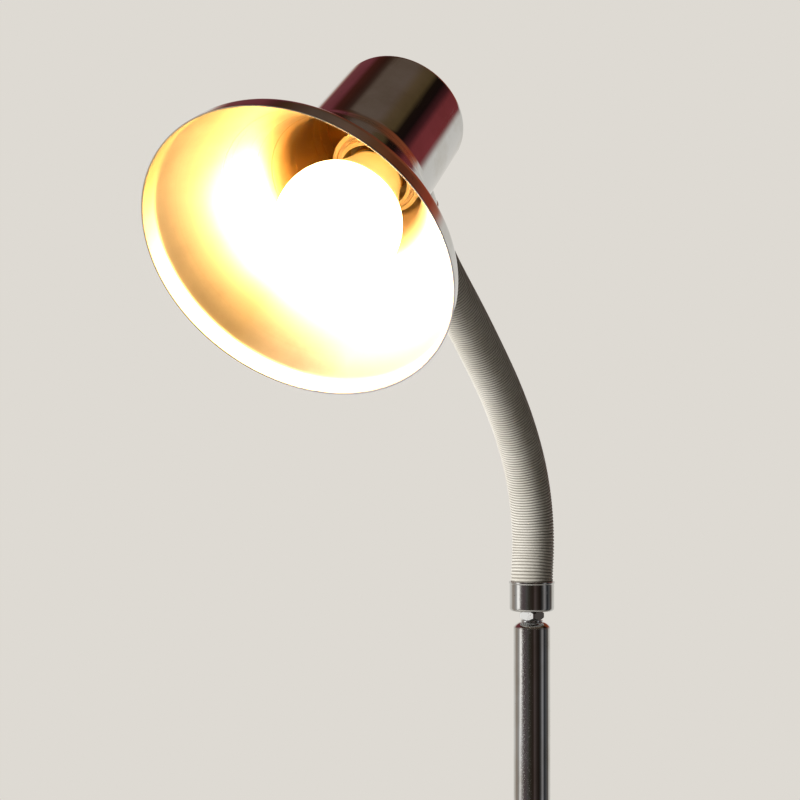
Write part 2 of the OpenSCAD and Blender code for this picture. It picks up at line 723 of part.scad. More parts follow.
base_felt();
bottom_plate();
plate_screws();
base_weight();
base_cover();
inlet_bushing();
terminal_block();
terminal_screws();
switch_body();
switch_bezel();
switch_button();
switch_spring();
tie_rod();
tie_nut();
tie_washer();
pole_collar();
pole_tube();
pole_foot_plug();
pole_top_plug();
lock_ring();
lock_nut();
lower_nipple();
lower_ferrule();
for (i = [1 : links]) gooseneck_link(i);
upper_ferrule();
upper_nipple();
shade();
holder_bracket();
holder_nipple();
holder_nut();
holder_dome();
holder_barrel();
holder_ring();
contact_block();
screw_shell();
centre_contact();
bulb_glass();
bulb_screw_cap();
bulb_insulator();
bulb_tip();
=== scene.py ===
# Floor lamp: a heavy round chrome base, a chrome pole, a ribbed gooseneck and a spun shade with a lit
# opal bulb. Metres, +Z up, the head faces -Y. Sizes are written in millimetres and every piece sits where
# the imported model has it.
import json
import math

import bmesh
import bpy
from mathutils import Matrix, Vector


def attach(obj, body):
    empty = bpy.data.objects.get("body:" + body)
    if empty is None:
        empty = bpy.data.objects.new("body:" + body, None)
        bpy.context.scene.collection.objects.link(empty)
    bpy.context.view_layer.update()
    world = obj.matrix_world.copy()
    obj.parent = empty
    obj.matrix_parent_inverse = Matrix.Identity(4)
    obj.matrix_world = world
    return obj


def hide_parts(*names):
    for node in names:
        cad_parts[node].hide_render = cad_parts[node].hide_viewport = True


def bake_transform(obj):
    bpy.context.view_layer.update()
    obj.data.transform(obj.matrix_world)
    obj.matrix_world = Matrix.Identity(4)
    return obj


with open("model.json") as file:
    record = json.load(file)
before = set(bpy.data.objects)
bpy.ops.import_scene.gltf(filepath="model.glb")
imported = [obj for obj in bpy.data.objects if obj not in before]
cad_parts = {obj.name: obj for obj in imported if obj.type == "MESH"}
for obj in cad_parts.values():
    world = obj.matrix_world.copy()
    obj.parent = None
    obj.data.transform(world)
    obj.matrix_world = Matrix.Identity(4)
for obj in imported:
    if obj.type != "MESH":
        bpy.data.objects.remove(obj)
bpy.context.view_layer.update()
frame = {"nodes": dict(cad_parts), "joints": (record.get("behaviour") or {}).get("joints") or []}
nodes = frame["nodes"]

# Camera. It stands about a metre and a quarter in front of the pole, a little to the right, at the height
# of the neck, and looks almost level with a long lens, so that the head fills the left of the frame.
eye = Vector((0.5280, -1.1401, 1.1687))
ahead = Vector((-0.4714, 0.8818, 0.0105))
lens = bpy.data.cameras.new("studio_camera")
lens.lens = 103.5
lens.sensor_width = 36
camera = bpy.data.objects.new("studio_camera", lens)
camera.location = eye
camera.rotation_euler = ahead.to_track_quat("-Z", "Y").to_euler()
camera.data.clip_end = 40
bpy.context.collection.objects.link(camera)
bpy.context.scene.camera = camera
bpy.context.scene.view_settings.view_transform = "Standard"

# Felt under the base. A die-cut disc of dark wool felt glued to the bottom plate, with a hole over each
# screw. Needle-punched wool gives a matt, slightly hairy edge and face with flecks of lighter fibre.
MM = 0.001


def linear(code):
    """sRGB hex to the linear colour that a shader reads."""
    parts = [int(code[i:i + 2], 16) / 255 for i in (1, 3, 5)]
    return tuple(c / 12.92 if c <= 0.04045 else ((c + 0.055) / 1.055) ** 2.4 for c in parts) + (1.0,)


def step(tree, kind, inputs=None, stops=None, **settings):
    """Adds a node and returns its first output. Settings are its properties, inputs are numbers, colours
    or other nodes' outputs, and stops fill a ramp."""
    made = tree.nodes.new("ShaderNode" + kind)
    for name, value in settings.items():
        setattr(made, name, value)
    for name, value in (inputs or {}).items():
        if isinstance(value, bpy.types.NodeSocket):
            tree.links.new(value, made.inputs[name])
        else:
            made.inputs[name].default_value = value
    if stops:
        elements = made.color_ramp.elements
        while len(elements) < len(stops):
            elements.new(1.0)
        for stop, (place, colour) in zip(elements, sorted(stops, key=lambda s: s[0])):
            stop.position = place
            stop.color = linear(colour) if isinstance(colour, str) else (colour, colour, colour, 1.0)
    return next((output for output in made.outputs if output.enabled), None)


def noise(tree, spot, scale, detail=2.0, rough=0.5, distortion=0.0):
    """Clouded noise; its features are about one metre divided by the scale."""
    return step(tree, "TexNoise", {"Vector": spot, "Scale": scale, "Detail": detail, "Roughness": rough,
                                   "Distortion": distortion})


def ramp(tree, value, stops):
    """Colours or greys along a value."""
    return step(tree, "ValToRGB", {"Fac": value}, stops)


def mixed(tree, share, a, b):
    """Colour a, or colour b where the share is 1."""
    a, b = (linear(c) if isinstance(c, str) else c for c in (a, b))
    return step(tree, "Mix", {"Factor": share, "A": a, "B": b}, data_type="RGBA")


def feed(shader, name, source):
    """Links an output into an input of a finish's shader."""
    shader.id_data.links.new(source, shader.inputs[name])


def relief(tree, shader, height, strength, distance):
    """Bumps on the finish, from a height of 0 to 1 that stands for a distance in millimetres."""
    bump = step(tree, "Bump", {"Height": height, "Strength": strength, "Distance": distance * MM})
    feed(shader, "Normal", bump)


def new_finish(name, colour, roughness, metallic=0.0, **more):
    """Makes a material; returns it with its tree, its Principled shader and the object's coordinates."""
    made = bpy.data.materials.new(name)
    made.use_nodes = True
    tree = made.node_tree
    shader = tree.nodes["Principled BSDF"]
    shader.inputs["Base Color"].default_value = linear(colour)
    shader.inputs["Roughness"].default_value = roughness
    shader.inputs["Metallic"].default_value = metallic
    for socket, value in more.items():
        shader.inputs[socket.replace("_", " ")].default_value = value
    return made, tree, shader, step(tree, "TexCoord").node.outputs["Object"]


def clad(finish, *names):
    """Gives the CAD form of each named node its finish."""
    for name in names:
        for slot in nodes[name].material_slots:
            slot.material = finish


def piece(name, bm, finishes, body=None, place=None, crease=32):
    """Closes a bmesh, in metres, into a smooth-shaded object that rides on a CAD body."""
    bmesh.ops.remove_doubles(bm, verts=bm.verts, dist=1e-6)
    bmesh.ops.recalc_face_normals(bm, faces=bm.faces)
    if place is not None:
        bmesh.ops.transform(bm, matrix=place, verts=bm.verts)
    mesh = bpy.data.meshes.new(name)
    bm.to_mesh(mesh)
    bm.free()
    for finish in finishes:
        mesh.materials.append(finish)
    mesh.shade_smooth()
    mesh.set_sharp_from_angle(angle=math.radians(crease))
    made = bpy.data.objects.new(name, mesh)
    bpy.context.collection.objects.link(made)
    if body:
        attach(made, body)
    return made


felt_r, felt_t, felt_edge, screw_ring, screw_hole = 123, 2, 0.45, 102, 5.6
screw_turns = (30, 150, 210, 330)
wool_felt, tree, shader, spot = new_finish("needled_wool_felt", "#2f2f31", 0.95,
                                           Sheen_Weight=0.5, Sheen_Roughness=0.5)
fibres = noise(tree, spot, 900.0, 4.0, 0.7)
flecks = ramp(tree, fibres, [(0.3, "#232325"), (0.6, "#38383b"), (0.75, "#56565a")])
feed(shader, "Base Color", flecks)
relief(tree, shader, fibres, 0.6, 0.4)

bm = bmesh.new()
bmesh.ops.create_circle(bm, segments=128, radius=felt_r * MM)
for turn in screw_turns:
    middle = Vector((math.cos(math.radians(turn)), math.sin(math.radians(turn)), 0)) * screw_ring * MM
    bmesh.ops.create_circle(bm, segments=24, radius=screw_hole * MM, matrix=Matrix.Translation(middle))
bmesh.ops.triangle_fill(bm, edges=bm.edges[:], use_beauty=True, normal=(0, 0, 1))
raised = bmesh.ops.extrude_face_region(bm, geom=bm.faces[:])
top = [v for v in raised["geom"] if isinstance(v, bmesh.types.BMVert)]
bmesh.ops.translate(bm, vec=(0, 0, felt_t * MM), verts=top)
rims = [e for e in bm.edges if e.calc_face_angle(0) > 1]
bmesh.ops.bevel(bm, geom=rims, offset=felt_edge * MM, segments=2, profile=0.5, affect="EDGES",
    material=-1)
felt = piece("felt_disc", bm, [wool_felt], "stand")
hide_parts("base_felt")

# Bottom plate and its screws. A blanked steel plate closes the base; countersunk-looking pan screws pull
# it to the weight. Bright zinc plating has a bluish satin grey with a faint crystalline mottle and dull
# handling marks.


def spread(tree, value, low, high, to_low=0.0, to_high=1.0, **settings):
    """Turns the range low to high of a value into the range to_low to to_high."""
    return step(tree, "MapRange", {"Value": value, "From Min": low, "From Max": high,
                                   "To Min": to_low, "To Max": to_high}, **settings)


zinc, tree, shader, spot = new_finish("zinc_plated_steel", "#a7abb0", 0.34, 1.0)
mottle = step(tree, "TexVoronoi", {"Vector": spot, "Scale": 420.0})
tint = ramp(tree, mottle, [(0.1, "#9a9fa6"), (0.7, "#b6b9bd")])
feed(shader, "Base Color", tint)
marks = noise(tree, spot, 70.0, 5.0, 0.65)
dull = spread(tree, marks, 0.35, 0.7, 0.26, 0.48)
feed(shader, "Roughness", dull)
clad(zinc, "bottom_plate", "plate_screws", "tie_washer", "holder_nut", "holder_bracket", "pole_foot_plug")

# Weight. A grey-iron casting with pockets for switch, terminals and wires, dipped in black stove paint.
# Sand casting leaves a coarse pebbled skin of about a millimetre, glossier on the high spots.
cast_iron, tree, shader, spot = new_finish("painted_cast_iron", "#2b2a29", 0.6)
sand = noise(tree, spot, 700.0, 5.0, 0.6)
rust = ramp(tree, sand, [(0.3, "#1e1d1c"), (0.6, "#33302d"), (0.8, "#4a3a30")])
feed(shader, "Base Color", rust)
relief(tree, shader, sand, 0.7, 0.5)
clad(cast_iron, "base_weight")

# Cover of the base. One disc of 1.2 mm steel, spun over a former with a rolled-over edge, polished and
# chromium plated. Polished chrome mirrors the room; close up it has a slow waviness, hairline rubbing
# marks, dull smears and a few pits.
base_r, base_h, base_edge, cover_t, cover_gap = 130, 24, 9, 1.2, 1
rod_hole, switch_hole, switch_out, inlet_hole, inlet_z = 5.2, 10.55, 80, 5.15, 9.6


def times(tree, a, b):
    """Product of two values."""
    return step(tree, "Math", {0: a, 1: b}, operation="MULTIPLY")


def scaled(tree, value, factor, base):
    """The value times a factor, on top of a base."""
    return step(tree, "Math", {0: value, 1: factor, 2: base}, operation="MULTIPLY_ADD")


def in_piece(tree, spot, place, turn):
    """Coordinates of a piece that stands at place, turned by turn, so that its pattern follows its axis."""
    return step(tree, "Mapping", {"Vector": spot, "Location": place, "Rotation": turn},
                vector_type="TEXTURE")


def chrome(name, place=(0, 0, 0), turn=(0, 0, 0), rub=(1100, 1100, 40), pits=0.5, bloom=0.0):
    """Chromium plate whose rubbing marks run along the axis of a piece that stands at place, turned so.
    Bloom is how much of the side that faces forward is freckled with fine matt corrosion."""
    made, tree, shader, spot = new_finish(name, "#d1d3d4", 0.05, 1.0)
    spot = in_piece(tree, spot, place, turn)
    smear = noise(tree, spot, 55.0, 4.0, 0.6)
    lines = step(tree, "Mapping", {"Vector": spot, "Scale": rub})
    lines = noise(tree, lines, 1.0, 2.0, 0.5)
    lines = spread(tree, lines, 0.60, 0.74)
    patch = spread(tree, smear, 0.42, 0.68)
    rubbed = times(tree, lines, patch)
    cells = step(tree, "TexVoronoi", {"Vector": spot, "Scale": 190.0, "Randomness": 1.0})
    core = spread(tree, cells, 0.05, 0.10, 1.0, 0.0)
    some = step(tree, "SeparateColor", {"Color": cells.node.outputs["Color"]})
    some = step(tree, "Math", {0: some, 1: 1 - 0.25 * pits}, operation="GREATER_THAN")
    pit = times(tree, core, some)
    rough = scaled(tree, rubbed, 0.2, 0.045)
    rough = scaled(tree, patch, 0.035, rough)
    rough = scaled(tree, pit, 0.4, rough)
    if bloom:
        around = step(tree, "VectorMath", {0: spot, 1: (1, 1, 0)}, operation="MULTIPLY")
        around = step(tree, "VectorMath", {0: around}, operation="NORMALIZE")
        front = step(tree, "VectorMath", {0: around, 1: (0.12, -0.99, 0)}, operation="DOT_PRODUCT")
        front = spread(tree, front, 0.93, 0.98, 0.0, bloom)
        grain = step(tree, "Mapping", {"Vector": spot, "Scale": (1300, 1300, 900)})
        grain = noise(tree, grain, 1.0, 3.0, 0.6)
        grain = spread(tree, grain, 0.53, 0.63)
        freckle = times(tree, grain, front)
        rough = scaled(tree, freckle, 0.26, rough)
    feed(shader, "Roughness", rough)
    film = mixed(tree, patch, "#d1d3d4", "#c4c3bf")
    spots = mixed(tree, pit, film, "#4a3b30")
    feed(shader, "Base Color", spots)
    wave = noise(tree, spot, 38.0, 1.0)
    tall = scaled(tree, pit, -0.35, wave)
    if bloom:
        tall = scaled(tree, freckle, 0.3, tall)
    relief(tree, shader, tall, 1.0, 0.07)
    return made


def turned(outline, sides=96, round_steps=5):
    """Turned piece: corners of (radius, height, rounding) in mm, spun round Z. It closes itself unless it
    ends on the axis. Points just inside both ends of a long edge keep it flat under smooth shading."""
    closed = outline[0][0] > 0 or outline[-1][0] > 0
    spots = []
    for here, after in zip(outline, outline[1:] + outline[:1]):
        spots.append(here)
        run = Vector(after[:2]) - Vector(here[:2])
        for end, inward in ((here, run), (after, -run)):
            clear, least = (end[2] * 1.15 + 0.15, 3) if len(end) > 2 else (0.7, 11)
            if run.length > clear * least:
                spots.append(tuple(Vector(end[:2]) + inward.normalized() * clear))
    while not closed and spots[-1] != outline[-1]:
        spots.pop()
    bm = bmesh.new()
    corners = [bm.verts.new((c[0] * MM, 0, c[1] * MM)) for c in spots]
    for a, b in zip(corners, corners[1:] + (corners[:1] if closed else [])):
        bm.edges.new((a, b))
    for corner, spec in zip(corners, spots):
        if len(spec) > 2:
            bmesh.ops.bevel(bm, geom=[corner], offset=spec[2] * MM, segments=round_steps, profile=0.5,
                            affect="VERTICES", material=-1)
    bmesh.ops.spin(bm, geom=bm.verts[:] + bm.edges[:], axis=(0, 0, 1), cent=(0, 0, 0), dvec=(0, 0, 0),
                   angle=math.tau, steps=sides, use_merge=True)
    return bm


def drilled(made, holes):
    """Cuts round holes into a piece: each is (middle, direction, radius, length) in mm."""
    bm = bmesh.new()
    for middle, direction, radius, length in holes:
        aim = Vector(direction).to_track_quat("Z", "Y").to_matrix().to_4x4()
        bmesh.ops.create_cone(bm, cap_ends=True, segments=64, radius1=radius * MM, radius2=radius * MM,
                              depth=length * MM, matrix=Matrix.Translation(Vector(middle) * MM) @ aim)
    mesh = bpy.data.meshes.new("drill")
    bm.to_mesh(mesh)
    bm.free()
    drill = bpy.data.objects.new("drill", mesh)
    bpy.context.collection.objects.link(drill)
    cut = made.modifiers.new("holes", "BOOLEAN")
    cut.operation, cut.solver, cut.object = "DIFFERENCE", "EXACT", drill
    bpy.context.view_layer.update()
    finished = bpy.data.meshes.new_from_object(made.evaluated_get(bpy.context.evaluated_depsgraph_get()))
    made.modifiers.clear()
    made.data = finished
    bpy.data.objects.remove(drill)
    return made


plated_cover = chrome("polished_chrome_on_spun_cover", rub=(500, 500, 500), pits=0.3)
cover = piece("base_cover_spun", turned([
    (0, base_h - cover_t), (base_r - base_edge - 1, base_h - cover_t),
    (base_r - cover_t, base_h - cover_t, 8),
    (base_r - cover_t, cover_gap, 0.4), (base_r, cover_gap, 0.4), (base_r, base_h - base_edge - 2),
    (base_r, base_h, base_edge), (base_r - base_edge - 2, base_h), (70, base_h), (30, base_h),
    (0, base_h)], 160, 14), [plated_cover], "stand")
drilled(cover, [
    ((0, 0, base_h), (0, 0, 1), rod_hole, 10), ((0, -switch_out, base_h), (0, 0, 1), switch_hole, 10),
    ((0, base_r, inlet_z), (0, 1, 0), inlet_hole, 12)])
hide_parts("base_cover")

# Inlet bushing. A black rubber grommet snapped into the rear of the cover, its flanges on either side of
# the steel. Moulded rubber is matt and slightly dusty, with a fine orange-peel skin.
rubber, tree, shader, spot = new_finish("moulded_black_rubber", "#1b1b1c", 0.68)
peel = noise(tree, spot, 2200.0, 2.0)
relief(tree, shader, peel, 0.3, 0.1)
dust = noise(tree, spot, 120.0, 3.0)
dusty = ramp(tree, dust, [(0.4, "#181819"), (0.75, "#2c2b2a")])
feed(shader, "Base Color", dusty)
clad(rubber, "inlet_bushing")

# Terminal block with its screws. A two-way block of moulded melamine with brass clamping screws. Melamine
# is an even ivory with a soft gloss; turned brass shows fine tool rings and a brownish bloom.
melamine, tree, shader, spot = new_finish("moulded_melamine", "#e6e0d2", 0.38)
cloud = noise(tree, spot, 60.0, 2.0)
ivory = ramp(tree, cloud, [(0.35, "#ddd6c6"), (0.7, "#ebe6da")])
feed(shader, "Base Color", ivory)
brass, tree, shader, spot = new_finish("turned_brass", "#c8a25c", 0.25, 1.0)
bloom = noise(tree, spot, 150.0, 4.0, 0.6)
golden = ramp(tree, bloom, [(0.35, "#a37d3f"), (0.65, "#d2ad68")])
feed(shader, "Base Color", golden)
tooled = spread(tree, bloom, 0.0, 1.0, 0.18, 0.42)
feed(shader, "Roughness", tooled)
clad(melamine, "terminal_block")
clad(brass, "terminal_screws")
clad(brass, "screw_shell")
clad(brass, "centre_contact")

# Foot switch. A phenolic body clamped through the cover by a chrome bezel, with a sprung chrome button in
# its bore. Black phenolic has a deep soft gloss; the spring is oiled steel wire; button and bezel are
# plated like the cover.
phenolic, tree, shader, spot = new_finish("moulded_phenolic", "#1e1b1a", 0.3)
swirl = noise(tree, spot, 140.0, 3.0, distortion=1.5)
deep = ramp(tree, swirl, [(0.4, "#191716"), (0.7, "#2a2422")])
feed(shader, "Base Color", deep)
spring_wire, tree, shader, spot = new_finish("oiled_spring_steel", "#6d6f73", 0.3, 1.0)
oil = noise(tree, spot, 300.0, 2.0)
sheen = spread(tree, oil, 0.0, 1.0, 0.2, 0.45)
feed(shader, "Roughness", sheen)
clad(phenolic, "switch_body")
clad(spring_wire, "switch_spring")

button_r, button_top, button_low, bezel_in, bezel_r = 8.5, 33, 15.6, 10.53, 13.58
on_switch = Matrix.Translation((0, -switch_out * MM, 0))
plated_button = chrome("polished_chrome_on_turned_brass", on_switch.translation,
                       rub=(600, 600, 600), pits=0.1)
bezel = piece("switch_bezel_turned", turned([
    (bezel_in, base_h), (bezel_r, base_h, 0.2), (bezel_r, base_h + 2.6, 0.9),
    (bezel_r - 1.6, base_h + 3, 0.4), (bezel_in + 0.9, base_h + 3, 0.3),
    (bezel_in, base_h + 2.6, 0.3)], 64), [plated_button], "stand", on_switch)
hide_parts("switch_bezel")
button = piece("switch_button_domed", turned([
    (0, button_low), (button_r - 1.2, button_low), (button_r, button_low + 1.2, 0.3),
    (button_r, button_top - 1.5, 0.7),
    (button_r - 1.2, button_top - 0.9), (button_r - 3, button_top - 0.4),
    (button_r - 5, button_top - 0.1), (0, button_top)], 64), [plated_button], "foot_button", on_switch)
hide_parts("switch_button")

# Tie rod and nuts. A hollow threaded rod clamps weight, cover and pole together; smaller threaded tubes
# join pole, neck and head. Yellow-passivated threads are rolled at 1 mm pitch, so light breaks into fine
# rings round them.
threads, tree, shader, spot = new_finish("passivated_thread", "#b3a36b", 0.32, 1.0)
hue = noise(tree, spot, 260.0, 3.0)
straw = ramp(tree, hue, [(0.3, "#9c8f63"), (0.55, "#b9a86c"), (0.75, "#a9926e")])
feed(shader, "Base Color", straw)
thread_pitch = 1.0
pitch = step(tree, "TexWave", {"Vector": spot, "Scale": math.pi / (10 * MM) / thread_pitch},
             bands_direction="Z", wave_profile="TRI")
relief(tree, shader, pitch.node.outputs["Fac"], 1.0, 0.4)
clad(threads, "tie_rod", "tie_nut", "lower_nipple", "upper_nipple", "holder_nipple")

# Collar round the foot of the pole. A turned flange with a hollow flare that hides the hole in the cover.
# It is plated like the pole; the lathe leaves the flare dead smooth, so it mirrors the cover as a dark
# ring.
pole_r, pole_wall, pole_foot, pole_top, collar_r, collar_h = 10, 1.2, 24, 1058, 23, 13


def arc(p, q, bulge, count):
    """Corners on an arc from p to q that stands off its chord by bulge, to the left if positive."""
    p, q = Vector(p), Vector(q)
    chord = q - p
    radius = (chord.length ** 2 / 4 + bulge ** 2) / (2 * bulge)
    middle = (p + q) / 2 + Vector((-chord.y, chord.x)).normalized() * (bulge - radius)
    start = p - middle
    turn = start.angle_signed(q - middle)
    return [tuple(middle + Matrix.Rotation(-turn * k / count, 2) @ start) for k in range(count + 1)]


plated_pole = chrome("polished_chrome_on_drawn_tube", rub=(1100, 1100, 26), pits=1.0, bloom=1.0)
flare = arc((collar_r - 0.9, base_h + 2.5), (pole_r + 1.45, base_h + collar_h - 0.6), 3.2, 16)
collar = piece("pole_collar_flared", turned(
    [(pole_r + 0.05, base_h), (collar_r, base_h, 0.3), (collar_r, base_h + 1.9, 0.6)] + flare
    + [(pole_r + 1.1, base_h + collar_h, 0.25), (pole_r + 0.05, base_h + collar_h, 0.2)], 96),
    [plated_cover], "stand")
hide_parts("pole_collar")

# Pole. Drawn steel tube, 20 mm by 1.2 mm, polished lengthwise and plated, pressed over a steel plug in
# the base. Hands that moved the lamp have rubbed long hairlines into it, and damp has left scattered pits
# with brown hearts.
tube = piece("pole_tube_drawn", turned([
    (pole_r - pole_wall, pole_foot), (pole_r, pole_foot), (pole_r, pole_top, 0.35),
    (pole_r - pole_wall, pole_top)], 96), [plated_pole], "stand")
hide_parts("pole_tube")

# Plug in the top of the pole. Turned steel, pressed in and plated with the tube; only its sloping
# shoulder shows.
shoulder, plug_h, bore, ring_r, ring_h = 2.9, 24, 4.05, 6.1, 1.3
plug_r = pole_r - pole_wall - 0.05
top_plug = piece("pole_top_plug_turned", turned(
    [(bore, pole_top - plug_h), (plug_r, pole_top - plug_h, 0.5), (plug_r, pole_top), (pole_r, pole_top)]
    + arc((pole_r, pole_top + 0.3), (ring_r + 0.4, pole_top + shoulder), -0.35, 8)
    + [(bore, pole_top + shoulder)], 96), [plated_pole], "stand")
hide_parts("pole_top_plug")

# Lock ring and square lock nut. They jam the threaded tube that carries the neck, so that the neck can't
# turn loose. Both are turned from bar and plated; the four flats of the nut catch the light one at a
# time.
ring_z = pole_top + shoulder
nut_z = ring_z + ring_h
nut_w, nut_h = 10.2, 4.8
plated_fitting = chrome("polished_chrome_on_turned_steel", rub=(700, 700, 300), pits=0.4, bloom=0.45)
lock_ring = piece("lock_ring_turned", turned([
    (bore, ring_z), (ring_r, ring_z, 0.3), (ring_r, nut_z, 0.35), (bore, nut_z)], 64),
    [plated_fitting], "stand")
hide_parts("lock_ring")

nut_turn, nut_corner, nut_blank, nut_chamfer = math.radians(-9), 1.3, 7.2, 0.8
corner_r = nut_w / 2 * math.sqrt(2) - nut_corner * (math.sqrt(2) - 1)
bm = turned([(bore, nut_z), (nut_w / 2 - 0.1, nut_z), (nut_blank, nut_z), (nut_blank, nut_z + nut_h),
             (nut_w / 2 - 0.1, nut_z + nut_h), (bore, nut_z + nut_h)], 240)
for v in bm.verts:
    if v.co.xy.length > (nut_blank - 0.1) * MM:
        swing = (math.atan2(v.co.y, v.co.x) - nut_turn + math.pi / 4) % (math.pi / 2) - math.pi / 4
        radius = min(nut_w / 2 / math.cos(swing), corner_r)
        v.co.xy *= radius / nut_blank
        inward = (nut_z + nut_h / 2) * MM - v.co.z
        v.co.z += math.copysign((radius - nut_w / 2) * nut_chamfer * MM, inward)
lock_nut = piece("lock_nut_square", bm, [plated_fitting], "stand", crease=20)
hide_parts("lock_nut")

# Lower ferrule. A deep-drawn cup screwed on the threaded tube; the end of the neck is pressed into it and
# its lip turned out. Drawn cups keep a mirror finish; the lip is a fine bright line and the rounded foot
# darkens towards the nut.
ferrule_z, ferrule_h, ferrule_r, neck_r, ferrule_floor = nut_z + nut_h, 16.2, 12.15, 11.5, 3


def ferrule(height):
    """Outline of a ferrule cup that stands on zero."""
    return [(bore, 0), (ferrule_r, 0, 1.6), (ferrule_r, height - 1.45, 0.2),
            (ferrule_r + 0.35, height - 1.0, 0.2), (ferrule_r + 0.35, height, 0.28),
            (neck_r + 0.05, height, 0.1), (neck_r + 0.05, ferrule_floor), (bore, ferrule_floor)]


lower = piece("lower_ferrule_drawn", turned(ferrule(ferrule_h), 96), [plated_fitting], "stand",
              Matrix.Translation((0, 0, ferrule_z * MM)))
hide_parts("lower_ferrule")

# Gooseneck. A tightly wound steel wire under a shrunk skin of grey vinyl that shows every turn as a soft
# rib. The skin follows a curve through the links: over each sway a soft length spans two links and rides on
# no body; where the links nod it is cut in a groove between two rigid lengths, and the upper one has a
# spigot in the cut.
rib_pitch, groove_d, sleeve_in, soft_end, fine = 1.64, 0.5, 10.0, 1.2, 24
spigot_r, spigot_h, spigot_play, spigot_taper, spigot_room = 10.8, 2.4, 0.1, 0.27, 1
vinyl, tree, shader, spot = new_finish("shrunk_grey_vinyl", "#cbc7bd", 0.46, Specular_IOR_Level=0.45)
soil_and_painted_shade = noise(tree, spot, 45.0, 4.0, 0.6)
# Painted shade: the grooves between the ribs are painted darker the deeper they are.
depth = step(tree, "Attribute", attribute_name="groove").node.outputs["Fac"]
groove_shade = spread(tree, depth, 0.15, 1.0, 0.0, 0.75)
handled = ramp(tree, soil_and_painted_shade, [(0.3, "#c2bdb1"), (0.55, "#cfcbc1"), (0.8, "#d8d4cb")])
handled_with_groove_shade = mixed(tree, groove_shade, handled, "#5a544b")
feed(shader, "Base Color", handled_with_groove_shade)
satin = spread(tree, soil_and_painted_shade, 0.0, 1.0, 0.38, 0.56)
feed(shader, "Roughness", satin)
grain = noise(tree, spot, 1500.0, 2.0)
relief(tree, shader, grain, 0.25, 0.1)

hinges = [Vector(j["pos_m"]) for j in frame["joints"] if j["name"].startswith("neck_")]
bodies = ["stand"] + [j["child"] for j in frame["joints"] if j["name"].startswith("neck_")]
dip, top_reach = math.radians(36.6), 6.5
lip = Vector((0, 0, (ferrule_z + ferrule_h) * MM))
end = hinges[-1] + top_reach * MM * Vector((0, -math.sin(dip), math.cos(dip)))
touch = [lip] + [(a + b) / 2 for a, b in zip(hinges, hinges[1:])] + [end]
course = []
for hinge, a, b in zip(hinges, touch, touch[1:]):
    for k in range(fine):
        t = k / fine
        course.append((a * (1 - t) ** 2 + hinge * 2 * t * (1 - t) + b * t ** 2,
                       ((hinge - a) * (1 - t) + (b - hinge) * t).normalized()))
course.append((end, (end - hinges[-1]).normalized()))
reach = [0.0]
for (p, _), (q, _) in zip(course, course[1:]):
    reach.append(reach[-1] + (q - p).length)
ribs = round(reach[-1] / (rib_pitch * MM))
rib = reach[-1] / ribs


def along(s):
    """Point and direction of the neck's middle at a length from the lower lip; straight past the ends."""
    if s <= 0 or s >= reach[-1]:
        point, way = course[0] if s <= 0 else course[-1]
        return point + way * (s if s <= 0 else s - reach[-1]), way
    k = max(i for i, r in enumerate(reach) if r <= s)
    share = (s - reach[k]) / (reach[k + 1] - reach[k])
    (point, way), (next_point, next_way) = course[k:k + 2]
    return point.lerp(next_point, share), way.lerp(next_way, share).normalized()


cuts = [-2] + [round(reach[fine * k] / rib) for k in range(1, len(hinges))] + [ribs + 2]
# One rib from groove to groove: place along the pitch, share of the groove's depth.
wave = [(0, 1), (0.10, 0.86), (0.22, 0.38), (0.34, 0.08),
        (0.5, 0), (0.66, 0.08), (0.78, 0.38), (0.90, 0.86)]
# Each length of skin: first and last groove, the bodies it rides on, the links it stands for.
lengths = []
for k, (low, high) in enumerate(zip(cuts, cuts[1:])):
    link = "gooseneck_link_%02d" % (k + 2)
    if k % 2:
        lengths.append((low, high, bodies[k], bodies[k + 1], [link]))
    else:
        middle = round(reach[fine * k + fine // 2] / rib)
        lengths.append((low, middle, bodies[k], None, [] if k else ["gooseneck_link_01"]))
        lengths.append((middle, high, bodies[k + 1], None, [link]))
for k, (low, high, body, other, links) in enumerate(lengths):
    foot, top = low * rib / MM, high * rib / MM
    outline = [(neck_r - groove_d * share, (n + z) * rib / MM)
               for n in range(low, high) for z, share in wave]
    outline.append((neck_r - groove_d, top))
    if not other and k % 3 == 0:
        outline += [(spigot_r + spigot_play, top), (spigot_r + spigot_play, top - spigot_h - spigot_room)]
    outline.append((sleeve_in, outline[-1][1]))
    if not other and k % 3 == 1:
        outline += [(sleeve_in, foot - spigot_h), (spigot_r - spigot_taper, foot - spigot_h),
                    (spigot_r, foot - spigot_h / 3), (spigot_r, foot)]
    else:
        outline.append((sleeve_in, foot))
    bm = turned(outline, 56)
    groove = bm.verts.layers.float.new("groove")
    for v in bm.verts:
        v[groove] = min(max((neck_r * MM - v.co.xy.length) / (groove_d * MM), 0), 1)
        point, way = along(v.co.z)
        v.co = point + Vector((v.co.x, 0, 0)) + Vector((0, way.z, -way.y)) * v.co.y
    length = piece("neck_skin_%02d" % (k + 1), bm, [vinyl], body if not other else None, crease=80)
    if other:
        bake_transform(length)
    if links:
        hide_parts(*links)

